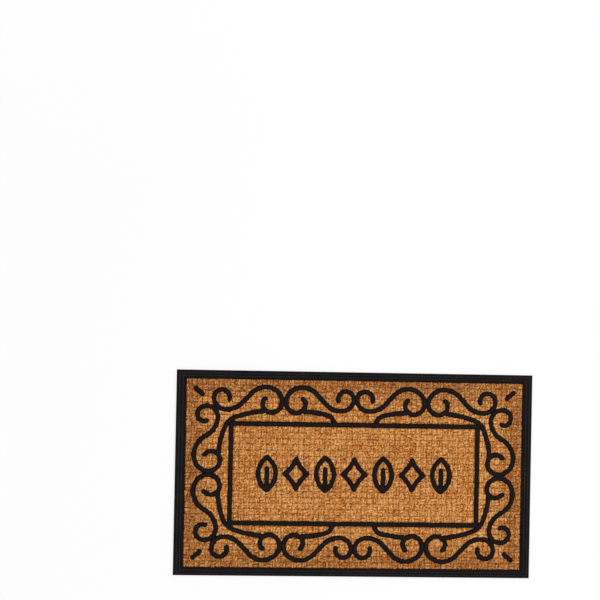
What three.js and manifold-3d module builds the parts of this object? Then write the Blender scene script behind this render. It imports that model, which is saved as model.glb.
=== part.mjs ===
// A door mat: a panel of woven coir moulded into a tray of black rubber, with rubber beads over the weave.
// Millimetres, +Z up. The origin is on the floor under the middle of the mat, and X runs along its length.
import * as THREE from "three";
import { mergeVertices } from "three/addons/utils/BufferGeometryUtils.js";
import Module from "manifold-3d";

const wasm = await Module();
wasm.setup();

// The tray: a flat backing with a border standing on its rim.
const matLength = 700;
const matWidth = 400;
const backingThickness = 2;
const endBorderWidth = 20; // across the border on the two short ends
const sideBorderWidth = 17; // across the border on the two long sides
const edgeHeight = 4.5; // floor to the top of the upright outer edge
const bandHeight = 8; // floor to the flat of the border
const bevelWidth = 2.4;
const ribHeight = 1; // how far the two ribs stand over the flat
const ribFoot = 2.4;
const ribCrest = 1.2;
const ribInsets = [5.6, 10.8]; // outer edge to the middle of each rib
const innerLipWidth = 1.5; // slope from the flat down towards the coir
const innerLipDrop = 1;

// The coir and the rubber beads on it.
const coirThickness = 5;
const beadWidth = 9.3;
const beadCrestWidth = 6;
const beadHeight = 2;
const gap = 0.3; // left between pieces that meet sideways

// The pattern is drawn for this field, and stretches with the field that the borders leave.
const drawnFieldLength = 660;
const drawnFieldWidth = 366;
const scrollPitch = 140; // length of one scroll along the mat
const frameLength = 493.4; // over the outside of the inner frame
const frameWidth = 203;
const dashMiddle = [305.7, 158.9];
const dashLength = 17.5; // between the middles of its round ends
const dashHeading = 41; // degrees
const motifPitch = 57;
const leafHeight = 64; // between its tips, along the middle of the bead
const leafWidth = 34;
const midribLength = 42;
const lozengeHeight = 58;
const lozengeWidth = 44;
const lozengeSideRadius = 75; // its sides bow inwards

const degreesPerStep = 18; // of turn, along a bead
const stepsPerRoundEnd = 12;

const fieldLength = matLength - 2 * endBorderWidth;
const fieldWidth = matWidth - 2 * sideBorderWidth;
const stretchX = fieldLength / drawnFieldLength;
const stretchY = fieldWidth / drawnFieldWidth;
const coirTop = backingThickness + coirThickness;
const beadTop = coirTop + beadHeight;

const rubber = { color: 0x1c1b1c, roughness: 0.72, metalness: 0 };
const coir = { color: 0xb97a40, roughness: 0.95, metalness: 0 };

const mat = new THREE.Group();

function place(name, geometry, finish, mirrorX = 1, mirrorY = 1) {
  const mesh = new THREE.Mesh(geometry, new THREE.MeshStandardMaterial(finish));
  mesh.name = name;
  mesh.scale.set(mirrorX, mirrorY, 1);
  mat.add(mesh);
  return mesh;
}

// A geometry as a solid that can be cut and joined, and back again.
function toSolid(geometry) {
  geometry.deleteAttribute("normal");
  geometry.deleteAttribute("uv");
  const merged = mergeVertices(geometry, 1e-4);
  const vertProperties = merged.attributes.position.array;
  const triVerts = new Uint32Array(merged.index.array);
  return new wasm.Manifold(new wasm.Mesh({ numProp: 3, vertProperties, triVerts }));
}

function toGeometry(solid) {
  const { vertProperties, triVerts } = solid.getMesh();
  const geometry = new THREE.BufferGeometry();
  geometry.setAttribute("position", new THREE.BufferAttribute(vertProperties, 3));
  geometry.setIndex(new THREE.BufferAttribute(triVerts, 1));
  geometry.computeVertexNormals();
  return geometry;
}

// A box given by its lowest and highest corners.
function block(low, high) {
  const size = high.map((value, axis) => value - low[axis]);
  const middle = high.map((value, axis) => (value + low[axis]) / 2);
  return new THREE.BoxGeometry(...size).translate(...middle);
}

// A rectangular moulding with mitred corners. Each point of its section is [distance in from the outer edge,
// height over the floor]. A four-sided lathe turns the section round a square, whose ends are then moved out.
function mitredFrame(length, width, section, endWidening = 1) {
  const outline = [...section, section[0]].map(
    ([inset, height]) => new THREE.Vector2((width / 2 - inset) * Math.SQRT2, height),
  );
  const geometry = new THREE.LatheGeometry(outline, 4, Math.PI / 4).rotateX(Math.PI / 2);
  const corners = geometry.attributes.position;
  for (let i = 0; i < corners.count; i++) {
    const inset = width / 2 - Math.abs(corners.getX(i));
    corners.setX(i, Math.sign(corners.getX(i)) * (length / 2 - inset * endWidening));
  }
  return geometry;
}

// A flat centre-line made of arcs that run smoothly into each other, from a start point and a heading in
// degrees. Each arc is [radius, degrees], positive bending left, and 0 degrees makes a straight run.
class ArcLine extends THREE.Curve {
  constructor(start, heading, arcs) {
    super();
    this.arcs = [];
    this.steps = 0;
    let from = new THREE.Vector2(...start);
    let angle = THREE.MathUtils.degToRad(heading);
    for (const [size, degrees] of arcs) {
      const turn = THREE.MathUtils.degToRad(degrees);
      const steps = Math.max(1, Math.ceil(Math.abs(degrees) / degreesPerStep));
      const arc = { from, angle, size, turn, steps };
      this.arcs.push(arc);
      this.steps += steps;
      from = this.pointOn(arc, 1);
      angle += turn;
    }
  }

  pointOn({ from, angle, size, turn }, share) {
    if (turn === 0) {
      const run = size * share;
      return new THREE.Vector2(from.x + run * Math.cos(angle), from.y + run * Math.sin(angle));
    }
    const radius = size * Math.sign(turn);
    const reached = angle + turn * share;
    return new THREE.Vector2(
      from.x + radius * (Math.sin(reached) - Math.sin(angle)),
      from.y - radius * (Math.cos(reached) - Math.cos(angle)),
    );
  }

  getPoint(t) {
    let step = t * this.steps;
    let index = 0;
    while (index < this.arcs.length - 1 && step > this.arcs[index].steps) {
      step -= this.arcs[index].steps;
      index++;
    }
    const drawn = this.pointOn(this.arcs[index], step / this.arcs[index].steps);
    return new THREE.Vector3(drawn.x * stretchX, drawn.y * stretchY, 0);
  }

  // Steps follow the turning, not the length, so tight arcs get as many as wide ones.
  getUtoTmapping(u) {
    return u;
  }
}

// One arc from a point to another, bowing to the right of the way it goes, or straight without a radius.
function bowed(from, to, radius) {
  const chord = Math.hypot(to[0] - from[0], to[1] - from[1]);
  const heading = THREE.MathUtils.radToDeg(Math.atan2(to[1] - from[1], to[0] - from[0]));
  if (!radius) return new ArcLine(from, heading, [[chord, 0]]);
  const half = THREE.MathUtils.radToDeg(Math.asin(chord / 2 / radius));
  return new ArcLine(from, heading - half, [[radius, 2 * half]]);
}

// A bar along a centre-line with round ends. Its foot and crest are half widths, its heights over the floor.
function bar(line, foot, crest, low, high) {
  const section = new THREE.Shape([
    new THREE.Vector2(-low, -foot),
    new THREE.Vector2(-high, -crest),
    new THREE.Vector2(-high, crest),
    new THREE.Vector2(-low, foot),
  ]);
  let solid = toSolid(new THREE.ExtrudeGeometry(section, { steps: line.steps, extrudePath: line }));
  const halfSection = [
    new THREE.Vector2(0, low),
    new THREE.Vector2(foot, low),
    new THREE.Vector2(crest, high),
    new THREE.Vector2(0, high),
  ];
  for (const end of [line.getPoint(0), line.getPoint(1)]) {
    const knob = new THREE.LatheGeometry(halfSection, stepsPerRoundEnd).rotateX(Math.PI / 2);
    solid = solid.add(toSolid(knob.translate(end.x, end.y, 0)));
  }
  return solid;
}

const bead = (line) => bar(line, beadWidth / 2, beadCrestWidth / 2, coirTop, beadTop);

// What a neighbour takes off a bead, so that the two meet a gap apart.
const reach = 3 * beadHeight; // how far the cutting solids go above and below the bead
const clearanceFor = (line) => {
  const half = beadWidth / 2 + gap;
  return bar(line, half, half, coirTop - reach, beadTop + reach);
};
const clearanceBlock = (low, high) =>
  toSolid(block([...low, coirTop - reach], [...high, beadTop + reach]));

// --- The rubber tray -------------------------------------------------------------------------------------

const backingCorner = [matLength / 2, matWidth / 2];
const backing = block([-backingCorner[0], -backingCorner[1], 0], [...backingCorner, backingThickness]);
place("rubber_backing", backing, rubber);

const ribs = ribInsets.flatMap((middle) => [
  [middle - ribFoot / 2, bandHeight],
  [middle - ribCrest / 2, bandHeight + ribHeight],
  [middle + ribCrest / 2, bandHeight + ribHeight],
  [middle + ribFoot / 2, bandHeight],
]);
const borderSection = [
  [0, backingThickness],
  [0, edgeHeight],
  [bevelWidth, bandHeight],
  ...ribs,
  [sideBorderWidth - innerLipWidth, bandHeight],
  [sideBorderWidth, bandHeight - innerLipDrop],
  [sideBorderWidth, backingThickness],
];
const endWidening = endBorderWidth / sideBorderWidth;
place("border_frame", mitredFrame(matLength, matWidth, borderSection, endWidening), rubber);

// --- The woven coir panel --------------------------------------------------------------------------------

const coirCorner = [fieldLength / 2 - gap, fieldWidth / 2 - gap];
place(
  "coir_matting",
  block([-coirCorner[0], -coirCorner[1], backingThickness], [...coirCorner, coirTop]),
  coir,
);

// --- The inner frame -------------------------------------------------------------------------------------

const shoulder = (beadWidth - beadCrestWidth) / 2;
const innerFrameSection = [
  [0, coirTop],
  [shoulder, beadTop],
  [beadWidth - shoulder, beadTop],
  [beadWidth, coirTop],
];
const frameCorner = [(frameLength / 2) * stretchX, (frameWidth / 2) * stretchY];
place(
  "inner_frame",
  mitredFrame(2 * frameCorner[0], 2 * frameCorner[1], innerFrameSection),
  rubber,
);

// --- The scrollwork: one quarter is drawn, for x and y over 0, and mirrored into the other three ----------

const sideScrollLine = new ArcLine([246.5, 143.7], 104, [
  [15, -104], [15.5, -87], [22.5, -87], [41.5, -53], [26.5, 0],
  [38, 51], [34, 44], [25, 52], [20.5, 98], [16, 89], [10.5, 42],
]);
const endScrollLine = new ArcLine([289.8, 101.6], -25, [
  [12.5, 93], [16, 98], [22, 108], [42.5, 58],
  [43.5, -53], [35.5, -40], [27.5, -63], [22.5, -80], [16.5, -86], [18.5, -58],
]);
const cornerLinkLine = new ArcLine([180.5, 121.2], -4, [[185, -18], [31, -44], [140, -23]]);
// Mirrored across the meeting line of two side scrolls, it leaves the inner one and drops onto the frame.
const stemLine = new ArcLine([180.5, 121.3], 0, [[167, -16], [16.5, -76]]);
const dashHalf = [
  (dashLength / 2) * Math.cos(THREE.MathUtils.degToRad(dashHeading)),
  (dashLength / 2) * Math.sin(THREE.MathUtils.degToRad(dashHeading)),
];
const dashLine = bowed(
  [dashMiddle[0] - dashHalf[0], dashMiddle[1] - dashHalf[1]],
  [dashMiddle[0] + dashHalf[0], dashMiddle[1] + dashHalf[1]],
);

// Scrolls that meet end to end stop half a gap short of their meeting line.
const sideScrollCell = clearanceBlock(
  [scrollPitch * stretchX + gap / 2, 0],
  [2 * scrollPitch * stretchX - gap / 2, matWidth / 2],
);
const endScrollCell = clearanceBlock([0, gap / 2], [matLength / 2, matWidth / 2]);
const frameClearance = clearanceBlock([0, 0], [frameCorner[0] + gap, frameCorner[1] + gap]);
const sideScrollClearance = clearanceFor(sideScrollLine);

const sideScroll = bead(sideScrollLine).intersect(sideScrollCell);
const endScroll = bead(endScrollLine).intersect(endScrollCell).subtract(sideScrollClearance);
const cornerLink = bead(cornerLinkLine)
  .subtract(sideScrollClearance)
  .subtract(clearanceFor(endScrollLine))
  .subtract(frameClearance);
const stem = bead(stemLine)
  .subtract(sideScrollClearance)
  .subtract(clearanceBlock([0, 0], [matLength / 2, frameCorner[1] + gap]));

const quarters = [
  { quarter: "rear_right", sideX: 1, sideY: 1 },
  { quarter: "rear_left", sideX: -1, sideY: 1 },
  { quarter: "front_right", sideX: 1, sideY: -1 },
  { quarter: "front_left", sideX: -1, sideY: -1 },
];
for (const { quarter, sideX, sideY } of quarters) {
  place(quarter + "_outer_scroll", toGeometry(sideScroll), rubber, sideX, sideY);
  place(quarter + "_end_scroll", toGeometry(endScroll), rubber, sideX, sideY);
  place(quarter + "_corner_link", toGeometry(cornerLink), rubber, sideX, sideY);
  place(quarter + "_corner_dash", toGeometry(bead(dashLine)), rubber, sideX, sideY);
  // The inner scroll and its stem are the outer scroll's side of the pattern, turned over the meeting line.
  const innerScroll = place(quarter + "_inner_scroll", toGeometry(sideScroll), rubber, -sideX, sideY);
  const innerStem = place(quarter + "_stem", toGeometry(stem), rubber, -sideX, sideY);
  innerScroll.position.x = 2 * scrollPitch * stretchX * sideX;
  innerStem.position.x = 2 * scrollPitch * stretchX * sideX;
}

// --- The row of motifs in the middle: leaves and lozenges in turn, with a leaf at each end -----------------

function leaf(x) {
  const low = [x, -leafHeight / 2];
  const high = [x, leafHeight / 2];
  const radius = (leafHeight ** 2 + leafWidth ** 2) / (4 * leafWidth);
  const sides = bead(bowed(low, high, radius)).add(bead(bowed(high, low, radius)));
  return sides.add(bead(bowed(low, [x, low[1] + midribLength])));
}

function lozenge(x) {
  const tips = [
    [x + lozengeWidth / 2, 0],
    [x, -lozengeHeight / 2],
    [x - lozengeWidth / 2, 0],
    [x, lozengeHeight / 2],
  ];
  return tips
    .map((tip, index) => bead(bowed(tip, tips[(index + 1) % tips.length], lozengeSideRadius)))
    .reduce((joined, side) => joined.add(side));
}

const motifs = [
  { name: "far_left_leaf", station: -3, shape: leaf },
  { name: "left_lozenge", station: -2, shape: lozenge },
  { name: "left_leaf", station: -1, shape: leaf },
  { name: "middle_lozenge", station: 0, shape: lozenge },
  { name: "right_leaf", station: 1, shape: leaf },
  { name: "right_lozenge", station: 2, shape: lozenge },
  { name: "far_right_leaf", station: 3, shape: leaf },
];
for (const motif of motifs) {
  place(motif.name, toGeometry(motif.shape(motif.station * motifPitch)), rubber);
}

export default mat;
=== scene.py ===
import math

import bpy
import numpy as np
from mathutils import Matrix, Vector, kdtree


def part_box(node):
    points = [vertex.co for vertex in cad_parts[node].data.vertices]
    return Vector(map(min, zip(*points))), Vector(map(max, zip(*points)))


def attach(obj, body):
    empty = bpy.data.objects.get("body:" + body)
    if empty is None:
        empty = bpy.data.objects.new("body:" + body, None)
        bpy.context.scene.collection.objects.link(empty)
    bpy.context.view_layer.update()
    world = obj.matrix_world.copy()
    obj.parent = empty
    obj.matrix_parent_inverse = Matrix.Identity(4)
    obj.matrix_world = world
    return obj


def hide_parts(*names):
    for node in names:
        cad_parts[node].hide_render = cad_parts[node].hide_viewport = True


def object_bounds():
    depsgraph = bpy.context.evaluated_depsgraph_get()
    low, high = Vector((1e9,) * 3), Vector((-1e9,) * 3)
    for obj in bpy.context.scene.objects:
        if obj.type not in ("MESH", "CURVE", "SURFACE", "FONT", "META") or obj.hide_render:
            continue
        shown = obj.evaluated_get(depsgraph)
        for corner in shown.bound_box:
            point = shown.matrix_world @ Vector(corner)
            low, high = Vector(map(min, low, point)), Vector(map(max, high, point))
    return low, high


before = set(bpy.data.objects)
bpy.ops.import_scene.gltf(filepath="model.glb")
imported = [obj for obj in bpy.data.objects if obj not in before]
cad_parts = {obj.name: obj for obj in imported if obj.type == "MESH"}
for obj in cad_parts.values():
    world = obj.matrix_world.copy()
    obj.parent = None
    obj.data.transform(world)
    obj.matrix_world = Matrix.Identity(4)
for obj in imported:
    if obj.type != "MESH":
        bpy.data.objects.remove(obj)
cad_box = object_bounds()
scene = bpy.context.scene
mm = 0.001


# ---- Camera, light and floor ------------------------------------------------------------------------------
# The mat lies on a white floor and is seen from almost straight above, a little off its middle, under soft
# light from all round, a large lamp at the far right and a weaker one at the near left.

mat_middle = (cad_box[0] + cad_box[1]) / 2
camera = bpy.data.objects.new("camera", bpy.data.cameras.new("camera"))
camera.data.lens = 85
camera.location = mat_middle + Vector((-0.2747, 0.3148, 2.7662))
camera.rotation_euler = [math.radians(angle) for angle in (0.449, -3.361, 1.129)]
scene.collection.objects.link(camera)
scene.camera = camera
scene.view_settings.view_transform = "Standard"


class Signal:
    """A socket whose values take Python's operators, which add Math nodes."""

    def __init__(self, finish, socket):
        self.finish = finish
        self.socket = socket

    def math(self, operation, *values):
        sockets = dict(enumerate(values))
        return self.finish.node("ShaderNodeMath", {"operation": operation}, sockets)

    def __add__(self, other):
        return self.math("ADD", self, other)

    __radd__ = __add__

    def __sub__(self, other):
        return self.math("SUBTRACT", self, other)

    def __rsub__(self, other):
        return self.math("SUBTRACT", other, self)

    def __mul__(self, other):
        return self.math("MULTIPLY", self, other)

    __rmul__ = __mul__


class Finish:
    """The nodes of one material, or of the world."""

    def __init__(self, owner):
        owner.use_nodes = True
        self.owner = owner
        self.tree = owner.node_tree
        self.tree.nodes.clear()

    def node(self, kind, settings={}, sockets={}, output=None):
        """Adds a node, with its settings first, then its sockets' values or links, and gives an output."""
        added = self.tree.nodes.new(kind)
        for name, value in settings.items():
            if name == "stops":
                stops = added.color_ramp.elements
                while len(stops) < len(value):
                    stops.new(0.5)
                for stop, (place, colour) in zip(stops, value):
                    stop.position = place
                    stop.color = (*colour, 1)
            else:
                setattr(added, name, value)
        for name, value in sockets.items():
            named = (socket for socket in added.inputs if socket.enabled and socket.name == name)
            socket = added.inputs[name] if isinstance(name, int) else next(named)
            if isinstance(value, Signal):
                self.tree.links.new(value.socket, socket)
            else:
                socket.default_value = value
        shown = [socket for socket in added.outputs if socket.enabled]
        chosen = [socket for socket in shown if output in (None, socket.name)]
        return Signal(self, chosen[0]) if chosen else None

    def seen(self):
        """1 for what is looked at, straight, in a gloss or through glass, and 0 for light on the mat."""
        straight, gloss, glass = [
            self.node("ShaderNodeLightPath", output=f"Is {kind} Ray")
            for kind in ("Camera", "Glossy", "Transmission")
        ]
        return straight.math("MINIMUM", straight + gloss + glass, 1.0)


def linear(red, green, blue):
    """A colour as it shows, from 0 to 255, as the light that a shader takes."""
    return tuple((value / 255) ** 2.2 for value in (red, green, blue))


half_floor = 6.0
floor_level = cad_box[0].z - 0.1 * mm
floor_sides = [(-1, -1), (1, -1), (1, 1), (-1, 1)]
floor_corners = [(x * half_floor, y * half_floor, floor_level) for x, y in floor_sides]
floor_mesh = bpy.data.meshes.new("floor")
floor_mesh.from_pydata(floor_corners, [], [(0, 1, 2, 3)])
floor = bpy.data.objects.new("floor", floor_mesh)
scene.collection.objects.link(floor)

paper = Finish(bpy.data.materials.new("white_floor"))
floor_place = paper.node("ShaderNodeTexCoord", output="Object")
from_mat = paper.node("ShaderNodeVectorMath", {"operation": "LENGTH"}, {0: floor_place}, "Value")
near_mat = paper.node("ShaderNodeMapRange", {}, {"Value": from_mat, "From Min": 2.6, "From Max": 0.7})
shadow_share = 0.25 * near_mat
lit = paper.node("ShaderNodeBsdfDiffuse", {}, {"Color": (0.92, 0.92, 0.92, 1)})
white = paper.node("ShaderNodeEmission", {}, {"Color": (1, 1, 1, 1), "Strength": 1.04})
both = paper.node("ShaderNodeMixShader", {}, {0: paper.seen() * (1 - shadow_share), 1: lit, 2: white})
paper.node("ShaderNodeOutputMaterial", {}, {"Surface": both})
floor.data.materials.append(paper.owner)

scene.world = bpy.data.worlds.new("studio")
studio = Finish(scene.world)
room_light = studio.node("ShaderNodeBackground", {}, {"Color": (1, 1, 1, 1), "Strength": 0.5})
backdrop = studio.node("ShaderNodeBackground", {}, {"Color": (1, 1, 1, 1), "Strength": 1.0})
room = studio.node("ShaderNodeMixShader", {}, {0: studio.seen(), 1: room_light, 2: backdrop})
studio.node("ShaderNodeOutputWorld", {}, {"Surface": room})


def hang_lamp(name, place, size, watts):
    """A square lamp that shines at the middle of the mat."""
    lamp = bpy.data.objects.new(name, bpy.data.lights.new(name, "AREA"))
    lamp.data.shape = "SQUARE"
    lamp.data.size = size
    lamp.data.energy = watts
    lamp.location = place
    lamp.rotation_euler = Vector(place).to_track_quat("Z", "Y").to_euler()
    scene.collection.objects.link(lamp)


hang_lamp("large_lamp", (1.6, 1.0, 2.4), 1.4, 40)
hang_lamp("small_lamp", (-1.6, -1.4, 2.6), 1.0, 19)


# ---- Rubber backing ---------------------------------------------------------------------------------------
# A sheet of recycled rubber under the whole mat, pressed in the same mould as the rest. Rows of low square
# studs on its underside keep the mat from sliding.

def make_piece(name, points, faces, material, crease=None):
    """A mesh piece, shaded smooth except over edges that turn by more than crease degrees."""
    mesh = bpy.data.meshes.new(name)
    mesh.from_pydata(np.asarray(points, float).reshape(-1, 3).tolist(), [], faces)
    mesh.shade_smooth()
    if crease:
        mesh.set_sharp_from_angle(angle=math.radians(crease))
    mesh.materials.append(material)
    piece = bpy.data.objects.new(name, mesh)
    scene.collection.objects.link(piece)
    return piece


def seat(piece, slot, *nodes):
    """The piece moves with the mat and stands for the nodes; its slot is not used."""
    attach(piece, "root")
    if nodes:
        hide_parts(*nodes)


rubber_gloss = 0.07


def moulded_rubber(name, deep, worn_and_highlit, worn_and_highlit_from, worn_and_highlit_to, grain, roughness):
    """Black rubber with a fine moulded grain, greyer between two heights: worn where shoes rub it, with a
    painted highlight on crests.
    """
    finish = Finish(bpy.data.materials.new(name))
    place = finish.node("ShaderNodeTexCoord", output="Object")
    height = finish.node("ShaderNodeSeparateXYZ", {}, {"Vector": place}, "Z")
    # Between the two heights the rubber is greyer: real wear, with a painted highlight along ribs and crests.
    wear_and_highlight = finish.node(
        "ShaderNodeMapRange",
        {"interpolation_type": "SMOOTHSTEP"},
        {"Value": height, "From Min": worn_and_highlit_from, "From Max": worn_and_highlit_to},
    )
    patches = finish.node("ShaderNodeTexNoise", {}, {"Vector": place, "Scale": 55, "Detail": 4}, "Fac")
    specks = finish.node("ShaderNodeTexNoise", {}, {"Vector": place, "Scale": 900, "Detail": 3}, "Fac")
    crumbs = finish.node("ShaderNodeTexNoise", {}, {"Vector": place, "Scale": 640, "Detail": 6}, "Fac")
    dust = finish.node("ShaderNodeMapRange", {}, {"Value": crumbs, "From Min": 0.54, "From Max": 0.72})
    # Painted highlight and wear come in patches and specks, and real dust lies everywhere.
    dust_wear_and_highlight = wear_and_highlight * (1.3 * patches + 0.4 * specks - 0.3) + 0.6 * dust
    shade = finish.node(
        "ShaderNodeMix",
        {"data_type": "RGBA"},
        {"Factor": dust_wear_and_highlight, "A": (*deep, 1), "B": (*worn_and_highlit, 1)},
        "Result",
    )
    pits = finish.node("ShaderNodeTexVoronoi", {}, {"Vector": place, "Scale": 1 / grain}, "Distance")
    relief = finish.node(
        "ShaderNodeBump",
        {},
        {"Strength": 0.9, "Distance": 0.24 * mm, "Height": pits * 0.6 + specks * 0.9 + patches},
    )
    surface = finish.node(
        "ShaderNodeBsdfPrincipled",
        {},
        {
            "Base Color": shade,
            "Roughness": roughness + 0.16 * (patches - 0.5) - 0.05 * wear_and_highlight,
            "Specular IOR Level": rubber_gloss,
            "Normal": relief,
        },
    )
    finish.node("ShaderNodeOutputMaterial", {}, {"Surface": surface})
    return finish.owner


backing_low, backing_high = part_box("rubber_backing")
stud_pitch = 12.5 * mm
stud_top = 7.5 * mm
stud_foot = 8.7 * mm
stud_depth = 0.6 * mm
edge_round = 0.5 * mm
backing_inset = 0.2 * mm  # from the face of the border


def stud_lines(half):
    """Where the grid of the underside has lines along one axis, and whether each line is on a stud."""
    studs = math.floor((2 * half - stud_pitch / 2) / stud_pitch)
    lines = [(-half + edge_round, 0)]
    for number in range(studs):
        middle = (number - (studs - 1) / 2) * stud_pitch
        lines += [(middle - stud_foot / 2, 0), (middle - stud_top / 2, 1)]
        lines += [(middle + stud_top / 2, 1), (middle + stud_foot / 2, 0)]
    return np.array(lines + [(half - edge_round, 0)])


def grid_faces(rows, columns):
    """Faces of a grid of points, as loops of point numbers."""
    first = (np.arange(rows - 1)[:, None] * columns + np.arange(columns - 1)).ravel()
    return np.stack([first, first + 1, first + columns + 1, first + columns], 1)


def grid_rim(rows, columns):
    """The numbers of a grid's outer points, in one turn round it."""
    numbers = np.arange(rows * columns).reshape(rows, columns)
    sides = [numbers[0, :-1], numbers[:-1, -1], numbers[-1, :0:-1], numbers[:0:-1, 0]]
    return np.concatenate(sides).tolist()


across = stud_lines(backing_high.x - backing_inset)
along = stud_lines(backing_high.y - backing_inset)
studded = np.zeros((len(along), len(across), 3))
studded[..., 0] = across[:, 0]
studded[..., 1] = along[:, 0][:, None]
studded[..., 2] = backing_low.z + stud_depth * (1 - np.outer(along[:, 1], across[:, 1]))
backing_points = studded.reshape(-1, 3)
backing_faces = grid_faces(*studded.shape[:2])[:, ::-1].tolist()
underside_rim = grid_rim(*studded.shape[:2])
underside_level = backing_low.z + stud_depth
outermost = np.array([across[-1, 0], along[-1, 0]])
last_ring = underside_rim
for outward, level in (
    (0.7 * edge_round, underside_level + 0.3 * edge_round),
    (edge_round, underside_level + edge_round),
    (edge_round, backing_high.z),
):
    ring = backing_points[underside_rim].copy()
    on_edge = np.abs(ring[:, :2]) >= outermost - 1e-6
    ring[:, :2] += np.where(on_edge, np.sign(ring[:, :2]) * outward, 0)
    ring[:, 2] = level
    next_ring = list(range(len(backing_points), len(backing_points) + len(ring)))
    backing_points = np.concatenate([backing_points, ring])
    for number in range(len(ring)):
        before = number - 1
        backing_faces.append((last_ring[before], last_ring[number], next_ring[number], next_ring[before]))
    last_ring = next_ring
backing_faces.append(last_ring)

backing_finish = moulded_rubber(
    "backing_rubber",
    deep=linear(22, 21, 22),
    worn_and_highlit=linear(44, 43, 44),
    worn_and_highlit_from=backing_high.z,
    worn_and_highlit_to=backing_low.z,
    grain=1.1 * mm,
    roughness=0.72,
)
backing = make_piece("studded_backing", backing_points, backing_faces, backing_finish, crease=25)
seat(backing, "backing_rubber", "rubber_backing")


# ---- Border -----------------------------------------------------------------------------------------------
# A moulded rim of the same rubber, mitred at the corners. Two ribs run round it, its upright outer edge ends
# in a bevel, and its inner wall grips the cut edge of the coir.

def soften(outline, share=0.22, rounds=2):
    """A closed outline with its corners cut, and the new corners cut again."""
    points = np.array(outline, float)
    for _ in range(rounds):
        following = np.roll(points, -1, axis=0)
        near = points * (1 - share) + following * share
        far = points * share + following * (1 - share)
        points = np.stack([near, far], 1).reshape(-1, 2)
    return points


def wander(chance, count, every, amount):
    """Smooth seeded wandering round nothing: count values whose bends are about `every` values long."""
    window = np.hanning(2 * every + 1)[1:-1]
    wave = np.convolve(chance.normal(size=count + len(window) - 1), window, "valid")
    return amount * wave / math.sqrt((window**2).sum())


def mitred_moulding(section, half_length, half_width, spacing, wobble, chance, widening=1.0):
    """Rings of a closed section, (distance in from the outer edge, height), round a rectangle."""
    corners = [(-1, -1), (1, -1), (1, 1), (-1, 1)]
    inset = section[:, 0]
    rings = []
    for number, corner in enumerate(corners):
        following = corners[(number + 1) % 4]
        side = 2 * (half_length if corner[1] == following[1] else half_width)
        near_corner = np.array([0, 0.3, 0.9]) * mm / side
        steps = np.linspace(0, 1, max(2, round(side / spacing)))[1:-1]
        stations = np.concatenate([near_corner, steps, 1 - near_corner[:0:-1]])
        waves = [wander(chance, len(stations), 5, amount) for amount in (wobble, wobble / 2)]
        calm = np.clip(np.minimum(stations, 1 - stations) * side / (12 * mm), 0, 1)
        for station, sideways, up in zip(stations, waves[0] * calm, waves[1] * calm):
            moved = inset + sideways * inset / inset.max()
            ends = [
                np.stack([x * (half_length - moved * widening), y * (half_width - moved)], 1)
                for x, y in (corner, following)
            ]
            flat = ends[0] * (1 - station) + ends[1] * station
            raised = section[:, 1] + up * (section[:, 1] > section[:, 1].mean())
            rings.append(np.column_stack([flat, raised]))
    return np.array(rings)


def ring_faces(rings, sides):
    """Faces between closed rings, the last of which meets the first."""
    ring = np.arange(rings)[:, None] * sides
    following = (np.arange(rings)[:, None] + 1) % rings * sides
    side = np.arange(sides)
    next_side = (side + 1) % sides
    loops = [ring + side, following + side, following + next_side, ring + next_side]
    return np.stack([np.broadcast_to(loop, (rings, sides)).ravel() for loop in loops], 1)


border_low, border_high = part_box("border_frame")
coir_low, coir_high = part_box("coir_matting")
clearance = 0.3 * mm  # between the border and the coir, all round
side_width = border_high.y - coir_high.y - clearance
end_width = border_high.x - coir_high.x - clearance
rib_height = 1.0 * mm
rib_half_foot = 1.2 * mm
rib_half_crest = 0.6 * mm
rib_middles = (5.6 * mm, 10.8 * mm)  # from the outer edge
flat_height = border_high.z - rib_height
edge_height = 4.5 * mm
bevel = 2.4 * mm
lip = 1.5 * mm
lip_drop = 1.0 * mm
border_foot = border_low.z - 1.1 * mm  # it laps the edge of the backing
border_outline = [(0, border_foot), (0, edge_height), (bevel, flat_height)]
for rib_middle in rib_middles:
    border_outline += [
        (rib_middle - rib_half_foot, flat_height),
        (rib_middle - rib_half_crest, border_high.z),
        (rib_middle + rib_half_crest, border_high.z),
        (rib_middle + rib_half_foot, flat_height),
    ]
border_outline += [
    (side_width - lip, flat_height),
    (side_width, flat_height - lip_drop),
    (side_width, border_foot),
]
border_section = soften(border_outline)
border_chance = np.random.default_rng(11)
border_rings = mitred_moulding(
    border_section,
    half_length=border_high.x,
    half_width=border_high.y,
    spacing=3.5 * mm,
    wobble=0.16 * mm,
    chance=border_chance,
    widening=end_width / side_width,
)
# The crests of the ribs are greyer: worn by shoes, with a painted highlight along them.
border_finish = moulded_rubber(
    "border_rubber",
    deep=linear(16, 14, 14),
    worn_and_highlit=linear(54, 50, 50),
    worn_and_highlit_from=flat_height + 0.4 * rib_height,
    worn_and_highlit_to=border_high.z,
    grain=0.9 * mm,
    roughness=0.6,
)
border_faces = ring_faces(*border_rings.shape[:2]).tolist()
border = make_piece("ribbed_border", border_rings, border_faces, border_finish, crease=40)
seat(border, "border_rubber", "border_frame")


# ---- Coir: the matted core --------------------------------------------------------------------------------
# Coconut fibre matting, cut to the size of the tray and laid in the mould. This is its dense inside, which
# shows only in the gaps between the yarns, and which the painted shade low in the weave makes darker.

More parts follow.
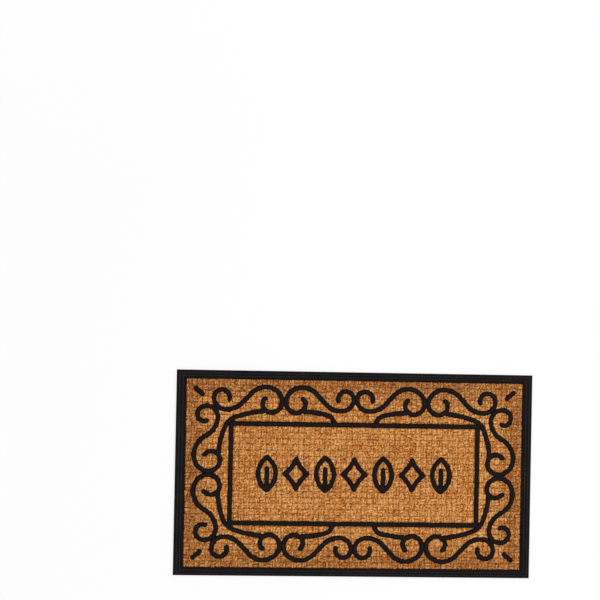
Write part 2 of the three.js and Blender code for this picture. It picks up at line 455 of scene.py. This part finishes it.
def coir_colour(finish, place, tone):
    """Golden coir, mottled, with painted shade that makes it darker and browner low in the weave and towards
    the border.
    """
    apart = {axis: finish.node("ShaderNodeSeparateXYZ", {}, {"Vector": place}, axis) for axis in "XYZ"}
    # Painted shade low in the weave: lift is 0 deep down and 1 at the tops of the yarns, and lightens the
    # coir as it rises.
    lift = finish.node(
        "ShaderNodeMapRange",
        {"interpolation_type": "SMOOTHSTEP"},
        {"Value": apart["Z"], "From Min": 4.6 * mm, "From Max": 7.0 * mm},
    )
    # Painted shade towards the border: the coir darkens within 62 mm of its wall.
    to_end = coir_high.x - apart["X"].math("ABSOLUTE", apart["X"])
    to_side = coir_high.y - apart["Y"].math("ABSOLUTE", apart["Y"])
    painted_rim_shade = finish.node(
        "ShaderNodeMapRange",
        {"interpolation_type": "SMOOTHSTEP"},
        {"Value": to_end.math("MINIMUM", to_end, to_side), "From Min": 62 * mm, "From Max": 6 * mm},
    )
    clouds = finish.node("ShaderNodeTexNoise", {}, {"Vector": place, "Scale": 34, "Detail": 3}, "Fac")
    mottle = finish.node("ShaderNodeTexNoise", {}, {"Vector": place, "Scale": 330, "Detail": 3}, "Fac")
    # The mix darkens with the painted shade low in the weave and near the border.
    mix = 1.1 * tone + 0.2 * clouds + 1.95 * mottle + 0.55 * lift - 0.1 * painted_rim_shade - 1.385
    ramp_stops = [
        (0.0, linear(88, 40, 14)),
        (0.25, linear(146, 79, 28)),
        (0.5, linear(196, 111, 41)),
        (0.75, linear(228, 144, 63)),
        (1.0, linear(244, 193, 124)),
    ]
    golden = finish.node("ShaderNodeValToRGB", {"stops": ramp_stops}, {"Fac": mix}, "Color")
    # Near the border the painted shade also dulls the gold towards a reddish brown.
    return finish.node(
        "ShaderNodeMix",
        {"data_type": "RGBA"},
        {"Factor": 0.26 * painted_rim_shade, "A": golden, "B": (*linear(116, 68, 52), 1)},
        "Result",
    )


coir_gloss = 0.12


def coir_finish(name, fibre_look):
    """Dry coconut fibre. fibre_look gives its tone, and the fine streaks of its fibres or None."""
    finish = Finish(bpy.data.materials.new(name))
    place = finish.node("ShaderNodeTexCoord", output="Object")
    tone, streaks = fibre_look(finish, place)
    sockets = {
        "Base Color": coir_colour(finish, place, tone),
        "Roughness": 0.85,
        "Specular IOR Level": coir_gloss,
    }
    if streaks:
        sockets["Roughness"] = 0.96 - 0.22 * streaks
        sockets["Normal"] = finish.node(
            "ShaderNodeBump", {}, {"Strength": 1.0, "Distance": 0.45 * mm, "Height": streaks}
        )
    surface = finish.node("ShaderNodeBsdfPrincipled", {}, sockets)
    finish.node("ShaderNodeOutputMaterial", {}, {"Surface": surface})
    return finish.owner


def matted_look(finish, place):
    """The core's fibres lie every way, and its tone comes from their tangle alone."""
    tangle = finish.node("ShaderNodeTexNoise", {}, {"Vector": place, "Scale": 700, "Detail": 5}, "Fac")
    return tangle, None


core_bottom = coir_low.z + 0.1 * mm
core_top = coir_low.z + 2.3 * mm
core_unevenness = 0.25 * mm
core_step = 3.0 * mm
core_columns = round(2 * coir_high.x / core_step)
core_rows = round(2 * coir_high.y / core_step)
core_chance = np.random.default_rng(23)
upper = np.zeros((core_rows, core_columns, 3))
upper[..., 0] = np.linspace(coir_low.x, coir_high.x, core_columns)
upper[..., 1] = np.linspace(coir_low.y, coir_high.y, core_rows)[:, None]
upper[..., 2] = core_top + core_chance.normal(0, core_unevenness, (core_rows, core_columns))
lower = upper.copy()
lower[..., 2] = core_bottom
below = core_rows * core_columns
upper_faces = grid_faces(core_rows, core_columns)
lower_faces = upper_faces[:, ::-1] + below
core_rim = grid_rim(core_rows, core_columns)
core_walls = [
    (number, core_rim[place - 1], core_rim[place - 1] + below, number + below)
    for place, number in enumerate(core_rim)
]
coir_core = make_piece(
    "coir_core",
    np.concatenate([upper.reshape(-1, 3), lower.reshape(-1, 3)]),
    upper_faces.tolist() + lower_faces.tolist() + core_walls,
    coir_finish("matted_coir", matted_look),
)
seat(coir_core, "woven_coir", "coir_matting")


# ---- Coir: the yarns --------------------------------------------------------------------------------------
# Two-ply coir yarn in a basket weave: pairs of warp yarns across the mat pass over and under pairs of weft
# yarns along it. Their cut ends are gripped in the border.

def tube_faces(rings, sides):
    """Faces of one open tube of rings, closed with a many-sided face at each end."""
    ring = np.arange(rings - 1)[:, None] * sides
    side = np.arange(sides)
    next_side = (side + 1) % sides
    loops = [ring + side, ring + next_side, ring + sides + next_side, ring + sides + side]
    walls = np.stack([loop.ravel() for loop in loops], 1)
    return walls, side[::-1], side + (rings - 1) * sides


def strip_map(rings, sides, columns, rows, count):
    """Corner places for a map that gives each tube a strip of its own, with its two ends above it."""
    ring = np.arange(rings - 1)[:, None] / (rings - 1) * 0.84 + 0.03
    next_ring = ring + 0.84 / (rings - 1)
    side = np.arange(sides) / sides * 0.84 + 0.08
    next_side = side + 0.84 / sides
    corners = [(side, ring), (next_side, ring), (next_side, next_ring), (side, next_ring)]
    walls = np.stack([np.stack(np.broadcast_arrays(u, v), -1) for u, v in corners], 2).reshape(-1, 2)
    turn = np.arange(sides) / sides * 2 * np.pi
    circle = np.stack([np.cos(turn) * 0.16, np.sin(turn) * 0.035], 1)
    ends = [circle[::-1] + (0.27, 0.94), circle + (0.73, 0.94)]
    strip = np.concatenate([walls, *ends])
    cell = np.arange(count)
    corner = np.stack([cell % columns, cell // columns], 1)[:, None]
    return ((strip + corner) / (columns, rows)).reshape(-1, 2)


def make_tubes(name, tubes, columns, rows, material):
    """One piece of many closed tubes, from their rings: tubes[tube, ring, side] is a point."""
    count, rings, sides = tubes.shape[:3]
    walls, first_end, last_end = tube_faces(rings, sides)
    faces = []
    for start in np.arange(count) * rings * sides:
        faces += (walls + start).tolist()
        faces += [(first_end + start).tolist(), (last_end + start).tolist()]
    piece = make_piece(name, tubes, faces, material)
    places = piece.data.uv_layers.new(name="OFBake")
    places.data.foreach_set("uv", strip_map(rings, sides, columns, rows, count).ravel())
    return piece


yarn_width = 5.0 * mm
yarn_height = 2.5 * mm
yarn_sides = 10
yarn_step = 1.95 * mm
yarn_stray = 0.32 * mm  # sideways, out of its line
yarn_lift = 0.19 * mm
yarn_swell = 0.08  # share of its thickness
ply_length = 17 * mm  # one full turn of the two plies
ply_bulge = 0.085  # share of the yarn's radius
fray = 0.05  # share of the yarn's radius
weave_level = coir_low.z + 2.75 * mm
grip = 1.2 * mm  # how far the ends reach into the border
warp_count = 126
weft_count = 64
warp_pitch = 2 * (coir_high.x + clearance) / warp_count
weft_pitch = 2 * (coir_high.y + clearance) / weft_count
warp_rise = 1.05 * mm
weft_rise = 1.0 * mm
weft_fullness = 1.08  # the weft is a little thicker than the warp
pair_pull = 0.05  # share of the pitch by which yarns draw towards their pair
yarn_chance = np.random.default_rng(37)


def paired(count, pitch):
    """Middles of yarns that lie closer within their pairs than between them."""
    number = np.arange(count)
    closer = np.where(number % 2 == 0, pair_pull, -pair_pull)
    return (number - (count - 1) / 2 + closer) * pitch


def weave_yarns(middles, half_run, crossing_pitch, crossings, over_first, rise, width):
    """Rings of every yarn along its run, as [yarn, ring, side] and (run, across, height)."""
    rings = round(2 * half_run / yarn_step)
    run = np.linspace(-half_run, half_run, rings)
    crossing = run / crossing_pitch + crossings / 2
    turn = -np.pi / 2 + np.arange(yarn_sides) / yarn_sides * 2 * np.pi
    tubes = np.zeros((len(middles), rings, yarn_sides, 3))
    for number, middle in enumerate(middles):
        swing = np.sin(crossing / 2 * np.pi) * (1 if (number // 2) % 2 == over_first else -1)
        wave = np.tanh(1.9 * swing) / math.tanh(1.9)
        sideways = middle + wander(yarn_chance, rings, 7, yarn_stray)
        swell = 1 + wander(yarn_chance, rings, 5, yarn_swell)
        level = weave_level + rise * wave + wander(yarn_chance, rings, 5, yarn_lift)
        twist = run / ply_length * 2 * np.pi + yarn_chance.uniform(0, 2 * np.pi)
        plies = 1 + ply_bulge * np.cos(2 * (turn - twist[:, None]))
        rough = 1 + yarn_chance.normal(0, fray, (rings, yarn_sides))
        radius = swell[:, None] * plies * rough
        tubes[number, ..., 0] = run[:, None]
        tubes[number, ..., 1] = sideways[:, None] + width / 2 * radius * np.cos(turn)
        tubes[number, ..., 2] = level[:, None] + yarn_height / 2 * radius * np.sin(turn)
    return tubes


def yarn_look(run_axis):
    """Fine fibres that lie slanting along the yarns of one direction, and a tone for each yarn."""
    def look(finish, place):
        slant = math.radians(18 if run_axis == "X" else 72)
        turned = finish.node(
            "ShaderNodeVectorRotate", {"rotation_type": "Z_AXIS"}, {"Vector": place, "Angle": -slant}
        )
        drawn_out = finish.node(
            "ShaderNodeVectorMath", {"operation": "MULTIPLY"}, {0: turned, 1: (0.12, 1.0, 0.6)}
        )
        fine, coarse = [
            finish.node("ShaderNodeTexNoise", {}, {"Vector": drawn_out, "Scale": scale, "Detail": 3}, "Fac")
            for scale in (1500, 420)
        ]
        yarn = finish.node("ShaderNodeNewGeometry", output="Random Per Island")
        blend = 0.55 * fine + 0.45 * coarse
        sharp = finish.node("ShaderNodeMapRange", {}, {"Value": blend, "From Min": 0.38, "From Max": 0.62})
        return 0.9 * sharp + 0.1 * yarn, sharp

    return look


warp_tubes = weave_yarns(
    middles=paired(warp_count, warp_pitch),
    half_run=coir_high.y + grip,
    crossing_pitch=weft_pitch,
    crossings=weft_count,
    over_first=0,
    rise=warp_rise,
    width=yarn_width,
)
warp_tubes = warp_tubes[..., [1, 0, 2]][:, :, ::-1]  # turned to run across the mat
weft_tubes = weave_yarns(
    middles=paired(weft_count, weft_pitch),
    half_run=coir_high.x + grip,
    crossing_pitch=warp_pitch,
    crossings=warp_count,
    over_first=1,
    rise=weft_rise,
    width=weft_fullness * yarn_width,
)
warp_finish = coir_finish("warp_coir", yarn_look("Y"))
weft_finish = coir_finish("weft_coir", yarn_look("X"))
yarn_pieces = 3  # of each direction, as one would hold too many faces
for name, tubes, finish in (("warp_yarns", warp_tubes, warp_finish), ("weft_yarns", weft_tubes, weft_finish)):
    for share in range(yarn_pieces):
        chosen = [number for number in range(len(tubes)) if number // 2 % yarn_pieces == share]
        piece = make_tubes(f"{name}_{share + 1}", tubes[chosen], len(chosen), 1, finish)
        seat(piece, "woven_coir")


# ---- Rubber beads: the inner frame ------------------------------------------------------------------------
# Half-round beads of the mould's rubber, pushed through the weave so that they join the backing. The inner
# frame is one bead round a rectangle.

bead_low, bead_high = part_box("inner_frame")
bead_half = 4.65 * mm
bead_rise = bead_high.z - bead_low.z
bead_root = 1.9 * mm  # how far the bead goes down into the weave
seep_depth = 0.8 * mm
even_seep = 0.2 * mm
root_share = 0.94  # of the bead's width
bead_places = np.array([-1, -0.97, -0.88, -0.72, -0.5, -0.25, 0, 0.25, 0.5, 0.72, 0.88, 0.97, 1])


def bead_height(distance):
    """Height of a bead at a distance from its middle, full in the middle and steep at the side."""
    return bead_low.z + bead_rise * np.clip(1 - (distance / bead_half) ** 2.6, 0, 1) ** 0.62


def with_root(places, heights, seep=(even_seep, even_seep)):
    """The section's points with a root down in the weave, where some rubber seeps out on each side."""
    left, right = places[0], places[-1]
    root_level = bead_low.z - bead_root
    seep_level = bead_low.z - seep_depth
    left_root = [(left * root_share, root_level), (left - seep[0], seep_level)]
    right_root = [(right + seep[1], seep_level), (right * root_share, root_level)]
    return np.array([*left_root, *zip(places, heights), *right_root])


# The top of each bead is greyer: worn by shoes, with a painted highlight along its crest.
bead_rubber = moulded_rubber(
    "bead_rubber",
    deep=linear(15, 10, 8),
    worn_and_highlit=linear(36, 29, 26),
    worn_and_highlit_from=bead_low.z + 0.7 * bead_rise,
    worn_and_highlit_to=bead_high.z,
    grain=0.8 * mm,
    roughness=0.62,
)
frame_section = with_root(bead_half * bead_places, bead_height(bead_half * np.abs(bead_places)))
frame_section[:, 0] = bead_half + frame_section[:, 0]
frame_chance = np.random.default_rng(41)
frame_rings = mitred_moulding(
    frame_section,
    half_length=bead_high.x,
    half_width=bead_high.y,
    spacing=2.5 * mm,
    wobble=0.1 * mm,
    chance=frame_chance,
)
frame_faces = ring_faces(*frame_rings.shape[:2]).tolist()
inner_frame = make_piece("inner_frame_bead", frame_rings, frame_faces, bead_rubber)
seat(inner_frame, "bead_rubber", "inner_frame")


# ---- Rubber beads: the scrollwork -------------------------------------------------------------------------
# Each quarter of the field has three scrolls, a link to the frame's corner, a stem and a short dash, all of
# the same bead. The four quarters are mirror images.

drawn_field = (659.4 * mm, 365.4 * mm)  # the field that the pattern was drawn for
stretch = np.array([2 * coir_high.x / drawn_field[0], 2 * coir_high.y / drawn_field[1]])
scroll_pitch = 140 * mm
bead_step = 1.4 * mm
end_turns = np.radians([25, 48, 66, 78, 86])  # where a round end has its rings
uneven_width = 0.025  # share of the bead's width
uneven_path = 0.1 * mm
uneven_height = 0.07 * mm
uneven_seep = 0.55 * mm


def follow(start, heading, arcs):
    """Points along arcs that run on, each [radius in mm, degrees to the left], or [length, 0] if straight."""
    points = [np.array(start, float)]
    angle = math.radians(heading)
    for size, degrees in arcs:
        turn = math.radians(degrees)
        length = size * abs(turn) if degrees else size
        steps = max(2, math.ceil(length * mm / bead_step))
        for _ in range(steps):
            angle += turn / steps / 2
            chord = 2 * size * math.sin(abs(turn) / steps / 2) if degrees else size / steps
            points.append(points[-1] + chord * np.array([math.cos(angle), math.sin(angle)]))
            angle += turn / steps / 2
    return np.array(points) * mm * stretch


def bead_rings(line, chance):
    """Rings of a bead along a flat line, with a rounded end at each side and a slightly uneven width."""
    ahead = np.gradient(line, axis=0)
    ahead /= np.linalg.norm(ahead, axis=1)[:, None]
    past_end = bead_half * np.sin(end_turns)
    spots = [(line[0], ahead[0], -past) for past in past_end[::-1]]
    spots += [(point, heading, 0.0) for point, heading in zip(line, ahead)]
    spots += [(line[-1], ahead[-1], past) for past in past_end]
    fuller = 1 + wander(chance, len(spots), 4, uneven_width)
    lean = wander(chance, len(spots), 5, uneven_path)
    higher = wander(chance, len(spots), 6, uneven_height)
    seeps = np.abs([wander(chance, len(spots), 2, uneven_seep) for _ in range(2)]).T
    rings = []
    for (point, heading, past), width, shift, lift, seep in zip(spots, fuller, lean, higher, seeps):
        narrowed = math.sqrt(1 - (past / bead_half) ** 2)
        places = bead_half * narrowed * bead_places
        heights = bead_height(np.hypot(places, past)) + lift * narrowed
        section = with_root(places * width + shift, heights, seep * narrowed)
        sideways = np.array([-heading[1], heading[0]])
        flat = point + heading * past + section[:, :1] * sideways
        rings.append(np.column_stack([flat, section[:, 1]]))
    return np.array(rings)


def join_beads(name, lines, chance):
    """One piece of one or more beads."""
    points = []
    faces = []
    for line in lines:
        rings = bead_rings(line, chance)
        walls, first_end, last_end = tube_faces(*rings.shape[:2])
        start = len(points)
        points += rings.reshape(-1, 3).tolist()
        faces += (walls[:, ::-1] + start).tolist()
        faces += [(first_end[::-1] + start).tolist(), (last_end[::-1] + start).tolist()]
    piece = make_piece(name + "_bead", points, faces, bead_rubber)
    seat(piece, "bead_rubber", name)
    return piece


side_scroll = follow([246.5, 143.7], 104, [
    [15, -104], [15.5, -87], [22.5, -87], [41.5, -53], [26.5, 0],
    [38, 51], [34, 44], [25, 52], [20.5, 98], [16, 89], [10.5, 42],
])
end_scroll = follow([289.8, 101.6], -25, [
    [12.5, 93], [16, 98], [22, 108], [42.5, 58],
    [43.5, -53], [35.5, -40], [27.5, -63], [22.5, -80], [16.5, -86], [18.5, -58],
])
corner_link = follow([180.5, 121.2], -4, [[185, -18], [31, -44], [140, -23]])
stem = follow([180.5, 121.3], 0, [[167, -16], [16.5, -76]])
dash = follow([299.1, 153.2], 41, [[17.5, 0]])


def turned_over(line):
    """The line on the other side of where two side scrolls meet."""
    return line * (-1, 1) + (2 * scroll_pitch * stretch[0], 0)


scrollwork = {
    "outer_scroll": side_scroll,
    "inner_scroll": turned_over(side_scroll),
    "end_scroll": end_scroll,
    "corner_link": corner_link,
    "stem": turned_over(stem),
    "corner_dash": dash,
}
bead_chance = np.random.default_rng(53)
bead_lines = []
for quarter, sides in (
    ("rear_right", (1, 1)),
    ("rear_left", (-1, 1)),
    ("front_right", (1, -1)),
    ("front_left", (-1, -1)),
):
    for name, line in scrollwork.items():
        join_beads(f"{quarter}_{name}", [line * sides], bead_chance)
        bead_lines.append(line * sides)


# ---- Rubber beads: the row of motifs ----------------------------------------------------------------------
# Leaves and lozenges in turn, in the middle of the inner frame. The strokes of each run together as the
# rubber does in the mould.

motif_pitch = 57  # these sizes are in mm, as follow() takes them
leaf_size = (34, 64)
midrib_length = 42
lozenge_size = (44, 58)
lozenge_side_radius = 75
stroke_merging = 0.6 * mm


def bowed(start, end, radius=None):
    """An arc from a point to another that bows to the right, or a straight run without a radius."""
    chord = math.dist(start, end)
    heading = math.degrees(math.atan2(end[1] - start[1], end[0] - start[0]))
    if radius is None:
        return follow(start, heading, [[chord, 0]])
    half = math.degrees(math.asin(chord / 2 / radius))
    return follow(start, heading - half, [[radius, 2 * half]])


def leaf(x):
    """Strokes of an upright leaf: its two sides and a midrib from its foot."""
    width, height = leaf_size
    low, high = (x, -height / 2), (x, height / 2)
    radius = (height**2 + width**2) / (4 * width)
    return [bowed(low, high, radius), bowed(high, low, radius), bowed(low, (x, low[1] + midrib_length))]


def lozenge(x):
    """Strokes of a lozenge, whose four sides bow inwards."""
    width, height = lozenge_size
    tips = [(x + width / 2, 0), (x, -height / 2), (x - width / 2, 0), (x, height / 2)]
    return [bowed(tips[number - 1], tips[number], lozenge_side_radius) for number in range(4)]


motifs = {
    "far_left_leaf": leaf,
    "left_lozenge": lozenge,
    "left_leaf": leaf,
    "middle_lozenge": lozenge,
    "right_leaf": leaf,
    "right_lozenge": lozenge,
    "far_right_leaf": leaf,
}
for station, (name, shape) in enumerate(motifs.items()):
    strokes = shape((station - len(motifs) // 2) * motif_pitch)
    motif = join_beads(name, strokes, bead_chance)
    merge = motif.modifiers.new("run_together", "REMESH")
    merge.mode = "VOXEL"
    merge.voxel_size = stroke_merging
    merge.use_smooth_shade = True
    ease = motif.modifiers.new("ease", "SMOOTH")
    ease.iterations = 4
    ease.factor = 0.5
    bead_lines += strokes


# ---- Coir: loose fibres -----------------------------------------------------------------------------------
# Stiff ends of coconut fibre that stand out of the yarns and lie over the weave, where no rubber covers it.

fibre_count = 22800
fibre_pieces = 4
fibre_sides = 3
fibre_rings = 6
fibre_lengths = (5, 17)  # mm
fibre_radii = (0.11, 0.2)  # mm
fibre_crests = (-0.25, 0.75)  # mm over the panel
fibre_droop = 1.3 * mm  # from its middle to its ends
fibre_margin = 2 * mm  # from the border
crossways_share = 0.42
frame_spots = 160
fibre_chance = np.random.default_rng(71)

rubber_spots = [point for line in bead_lines for point in line]
frame_middle = (bead_high.x - bead_half, bead_high.y - bead_half)
for share in np.linspace(-1, 1, frame_spots):
    for side in (-1, 1):
        rubber_spots.append((share * frame_middle[0], side * frame_middle[1]))
        rubber_spots.append((side * frame_middle[0], share * frame_middle[1]))
rubber_tree = kdtree.KDTree(len(rubber_spots))
for number, spot in enumerate(rubber_spots):
    rubber_tree.insert((spot[0], spot[1], 0), number)
rubber_tree.balance()


def clear_of_rubber(x, y):
    """Whether a place on the weave is off every bead."""
    return rubber_tree.find((x, y, 0))[2] > bead_half + 0.4 * mm


roots = []
while len(roots) < fibre_count:
    x, y = fibre_chance.uniform(-1, 1, 2) * (coir_high.x - fibre_margin, coir_high.y - fibre_margin)
    if clear_of_rubber(x, y):
        roots.append((x, y))
roots = np.array(roots)
crossways = fibre_chance.random(fibre_count) < crossways_share
heading = np.where(crossways, np.pi / 2, 0) + fibre_chance.normal(0, 0.45, fibre_count)
length = fibre_chance.uniform(*fibre_lengths, fibre_count) * mm
bend = fibre_chance.normal(0, 1.1, fibre_count)
crest = coir_high.z + fibre_chance.uniform(*fibre_crests, fibre_count) * mm
radius = fibre_chance.uniform(*fibre_radii, fibre_count) * mm

along_fibre = np.linspace(-0.5, 0.5, fibre_rings)
direction = heading[:, None] + bend[:, None] * along_fibre
middle_x = roots[:, :1] + length[:, None] * along_fibre * np.cos(direction)
middle_y = roots[:, 1:] + length[:, None] * along_fibre * np.sin(direction)
middle_x = np.clip(middle_x, coir_low.x, coir_high.x)
middle_y = np.clip(middle_y, coir_low.y, coir_high.y)
arch = 1 - (2 * along_fibre) ** 2
kinks = fibre_chance.normal(0, 0.08, (fibre_count, fibre_rings)) * mm
middle_z = crest[:, None] - fibre_droop * (1 - arch) + kinks
taper = radius[:, None] * (0.45 + 0.55 * arch)
around = np.arange(fibre_sides) / fibre_sides * 2 * np.pi
fibres = np.stack([
    middle_x[..., None] - np.sin(direction)[..., None] * taper[..., None] * np.cos(around),
    middle_y[..., None] + np.cos(direction)[..., None] * taper[..., None] * np.cos(around),
    middle_z[..., None] + taper[..., None] * np.sin(around),
], -1)


def loose_look(finish, place):
    """Each loose fibre has a tone of its own."""
    own = finish.node("ShaderNodeNewGeometry", output="Random Per Island")
    return 1.2 * own - 0.05, None


fibre_finish = coir_finish("loose_coir", loose_look)
map_columns = math.ceil(math.sqrt(fibre_count / fibre_pieces))
for share in range(fibre_pieces):
    chosen = fibres[share::fibre_pieces]
    map_rows = math.ceil(len(chosen) / map_columns)
    piece = make_tubes(f"loose_fibres_{share + 1}", chosen, map_columns, map_rows, fibre_finish)
    seat(piece, "woven_coir")
